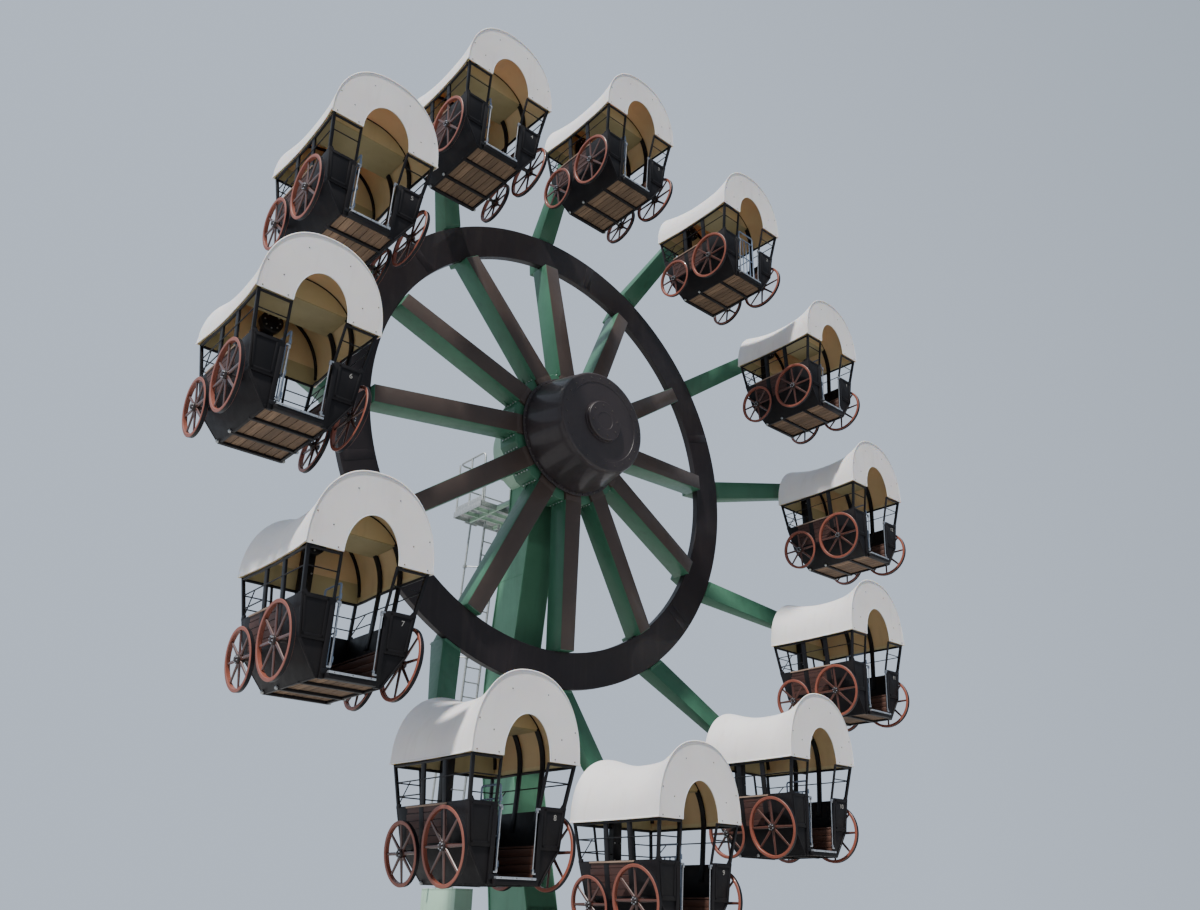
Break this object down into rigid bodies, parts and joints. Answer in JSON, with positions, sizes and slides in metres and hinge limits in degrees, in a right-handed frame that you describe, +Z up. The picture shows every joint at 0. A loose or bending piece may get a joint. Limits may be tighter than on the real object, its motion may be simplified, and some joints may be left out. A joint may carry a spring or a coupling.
{
  "type": "ferris wheel",
  "caption": "Ferris wheel with covered-wagon cabins hung on bent arms from one side of a spoked rim, carried by a single leaning column.",
  "frame": {"origin": "on the ground at the middle of the front column's foot, in the flat underside of the base beam", "axes": "+Z up; the wheel's axis is along Y and its open front with the wagons faces -Y; +X is to the right seen from the front"},
  "size_m": [14.5862, 6.33, 16.659],
  "materials": {
    "tower_green": "gloss paint",
    "galvanized": "dull zinc",
    "dark_brown": "gloss paint",
    "wagon_brown": "dark stained boards",
    "canopy_white": "weathered shell",
    "gate_steel": "grey-blue paint"
  },
  "bodies": {
    "tower": {"tower_base": "tower_green", "front_column": "tower_green", "tower_head": "tower_green", "ladder_pedestal": "tower_green", "service_platform": "galvanized", "platform_railing": "galvanized", "service_ladder": "galvanized"},
    "wheel": {"spoke_arm_01": "tower_green", "spoke_arm_02": "tower_green", "spoke_arm_03": "tower_green", "spoke_arm_04": "tower_green", "spoke_arm_05": "tower_green", "spoke_arm_06": "tower_green", "spoke_arm_07": "tower_green", "spoke_arm_08": "tower_green", "spoke_arm_09": "tower_green", "spoke_arm_10": "tower_green", "spoke_arm_11": "tower_green", "spoke_arm_12": "tower_green", "wheel_rim": "dark_brown", "hub_drum": "tower_green", "hub_barrel": "dark_brown", "hub_cap": "dark_brown"},
    "wagon_01": {"wagon_01_body": "wagon_brown", "wagon_01_canopy": "canopy_white"},
    "gate_01": {"wagon_01_gate": "gate_steel"},
    "wagon_02": {"wagon_02_body": "wagon_brown", "wagon_02_canopy": "canopy_white"},
    "gate_02": {"wagon_02_gate": "gate_steel"},
    "wagon_03": {"wagon_03_body": "wagon_brown", "wagon_03_canopy": "canopy_white"},
    "gate_03": {"wagon_03_gate": "gate_steel"},
    "wagon_04": {"wagon_04_body": "wagon_brown", "wagon_04_canopy": "canopy_white"},
    "gate_04": {"wagon_04_gate": "gate_steel"},
    "wagon_05": {"wagon_05_body": "wagon_brown", "wagon_05_canopy": "canopy_white"},
    "gate_05": {"wagon_05_gate": "gate_steel"},
    "wagon_06": {"wagon_06_body": "wagon_brown", "wagon_06_canopy": "canopy_white"},
    "gate_06": {"wagon_06_gate": "gate_steel"},
    "wagon_07": {"wagon_07_body": "wagon_brown", "wagon_07_canopy": "canopy_white"},
    "gate_07": {"wagon_07_gate": "gate_steel"},
    "wagon_08": {"wagon_08_body": "wagon_brown", "wagon_08_canopy": "canopy_white"},
    "gate_08": {"wagon_08_gate": "gate_steel"},
    "wagon_09": {"wagon_09_body": "wagon_brown", "wagon_09_canopy": "canopy_white"},
    "gate_09": {"wagon_09_gate": "gate_steel"},
    "wagon_10": {"wagon_10_body": "wagon_brown", "wagon_10_canopy": "canopy_white"},
    "gate_10": {"wagon_10_gate": "gate_steel"},
    "wagon_11": {"wagon_11_body": "wagon_brown", "wagon_11_canopy": "canopy_white"},
    "gate_11": {"wagon_11_gate": "gate_steel"},
    "wagon_12": {"wagon_12_body": "wagon_brown", "wagon_12_canopy": "canopy_white"},
    "gate_12": {"wagon_12_gate": "gate_steel"}
  },
  "joints": [
    {"name": "wheel_spin", "type": "hinge", "parent": "tower", "child": "wheel", "pos_m": [0, 0, 9.8], "axis": [0, 1, 0], "continuous": true},
    {"name": "wagon_01_pivot", "type": "hinge", "parent": "wheel", "child": "wagon_01", "pos_m": [5.20124, -0.856, 13.52922], "axis": [0, 1, 0], "continuous": true},
    {"name": "gate_01_hinge", "type": "hinge", "parent": "wagon_01", "child": "gate_01", "pos_m": [4.94124, -2.886, 11.48922], "axis": [0, 0, 1], "range_deg": [-90, 0]},
    {"name": "wagon_02_pivot", "type": "hinge", "parent": "wheel", "child": "wagon_02", "pos_m": [2.6398, -0.856, 15.63022], "axis": [0, 1, 0], "continuous": true},
    {"name": "gate_02_hinge", "type": "hinge", "parent": "wagon_02", "child": "gate_02", "pos_m": [2.3798, -2.886, 13.59022], "axis": [0, 0, 1], "range_deg": [0, 90]},
    {"name": "wagon_03_pivot", "type": "hinge", "parent": "wheel", "child": "wagon_03", "pos_m": [-0.62898, -0.856, 16.16902], "axis": [0, 1, 0], "continuous": true},
    {"name": "gate_03_hinge", "type": "hinge", "parent": "wagon_03", "child": "gate_03", "pos_m": [-0.88898, -2.886, 14.12902], "axis": [0, 0, 1], "range_deg": [-90, 0]},
    {"name": "wagon_04_pivot", "type": "hinge", "parent": "wheel", "child": "wagon_04", "pos_m": [-3.72922, -0.856, 15.00124], "axis": [0, 1, 0], "continuous": true},
    {"name": "gate_04_hinge", "type": "hinge", "parent": "wagon_04", "child": "gate_04", "pos_m": [-3.98922, -2.886, 12.96124], "axis": [0, 0, 1], "range_deg": [-90, 0]},
    {"name": "wagon_05_pivot", "type": "hinge", "parent": "wheel", "child": "wagon_05", "pos_m": [-5.83022, -0.856, 12.4398], "axis": [0, 1, 0], "continuous": true},
    {"name": "gate_05_hinge", "type": "hinge", "parent": "wagon_05", "child": "gate_05", "pos_m": [-6.09022, -2.886, 10.3998], "axis": [0, 0, 1], "range_deg": [-90, 0]},
    {"name": "wagon_06_pivot", "type": "hinge", "parent": "wheel", "child": "wagon_06", "pos_m": [-6.36902, -0.856, 9.17102], "axis": [0, 1, 0], "continuous": true},
    {"name": "gate_06_hinge", "type": "hinge", "parent": "wagon_06", "child": "gate_06", "pos_m": [-6.62902, -2.886, 7.13102], "axis": [0, 0, 1], "range_deg": [-90, 0]},
    {"name": "wagon_07_pivot", "type": "hinge", "parent": "wheel", "child": "wagon_07", "pos_m": [-5.20124, -0.856, 6.07078], "axis": [0, 1, 0], "continuous": true},
    {"name": "gate_07_hinge", "type": "hinge", "parent": "wagon_07", "child": "gate_07", "pos_m": [-5.46124, -2.886, 4.03078], "axis": [0, 0, 1], "range_deg": [-90, 0]},
    {"name": "wagon_08_pivot", "type": "hinge", "parent": "wheel", "child": "wagon_08", "pos_m": [-2.6398, -0.856, 3.96978], "axis": [0, 1, 0], "continuous": true},
    {"name": "gate_08_hinge", "type": "hinge", "parent": "wagon_08", "child": "gate_08", "pos_m": [-2.8998, -2.886, 1.92978], "axis": [0, 0, 1], "range_deg": [-90, 0]},
    {"name": "wagon_09_pivot", "type": "hinge", "parent": "wheel", "child": "wagon_09", "pos_m": [0.62898, -0.856, 3.43098], "axis": [0, 1, 0], "continuous": true},
    {"name": "gate_09_hinge", "type": "hinge", "parent": "wagon_09", "child": "gate_09", "pos_m": [0.36898, -2.886, 1.39098], "axis": [0, 0, 1], "range_deg": [-90, 0]},
    {"name": "wagon_10_pivot", "type": "hinge", "parent": "wheel", "child": "wagon_10", "pos_m": [3.72922, -0.856, 4.59876], "axis": [0, 1, 0], "continuous": true},
    {"name": "gate_10_hinge", "type": "hinge", "parent": "wagon_10", "child": "gate_10", "pos_m": [3.46922, -2.886, 2.55876], "axis": [0, 0, 1], "range_deg": [-90, 0]},
    {"name": "wagon_11_pivot", "type": "hinge", "parent": "wheel", "child": "wagon_11", "pos_m": [5.83022, -0.856, 7.1602], "axis": [0, 1, 0], "continuous": true},
    {"name": "gate_11_hinge", "type": "hinge", "parent": "wagon_11", "child": "gate_11", "pos_m": [5.57022, -2.886, 5.1202], "axis": [0, 0, 1], "range_deg": [-90, 0]},
    {"name": "wagon_12_pivot", "type": "hinge", "parent": "wheel", "child": "wagon_12", "pos_m": [6.36902, -0.856, 10.42898], "axis": [0, 1, 0], "continuous": true},
    {"name": "gate_12_hinge", "type": "hinge", "parent": "wagon_12", "child": "gate_12", "pos_m": [6.10902, -2.886, 8.38898], "axis": [0, 0, 1], "range_deg": [-90, 0]}
  ],
  "couplings": [
    {"joint": "wagon_01_pivot", "follows": "wheel_spin", "ratio": -1},
    {"joint": "wagon_02_pivot", "follows": "wheel_spin", "ratio": -1},
    {"joint": "wagon_03_pivot", "follows": "wheel_spin", "ratio": -1},
    {"joint": "wagon_04_pivot", "follows": "wheel_spin", "ratio": -1},
    {"joint": "wagon_05_pivot", "follows": "wheel_spin", "ratio": -1},
    {"joint": "wagon_06_pivot", "follows": "wheel_spin", "ratio": -1},
    {"joint": "wagon_07_pivot", "follows": "wheel_spin", "ratio": -1},
    {"joint": "wagon_08_pivot", "follows": "wheel_spin", "ratio": -1},
    {"joint": "wagon_09_pivot", "follows": "wheel_spin", "ratio": -1},
    {"joint": "wagon_10_pivot", "follows": "wheel_spin", "ratio": -1},
    {"joint": "wagon_11_pivot", "follows": "wheel_spin", "ratio": -1},
    {"joint": "wagon_12_pivot", "follows": "wheel_spin", "ratio": -1}
  ]
}
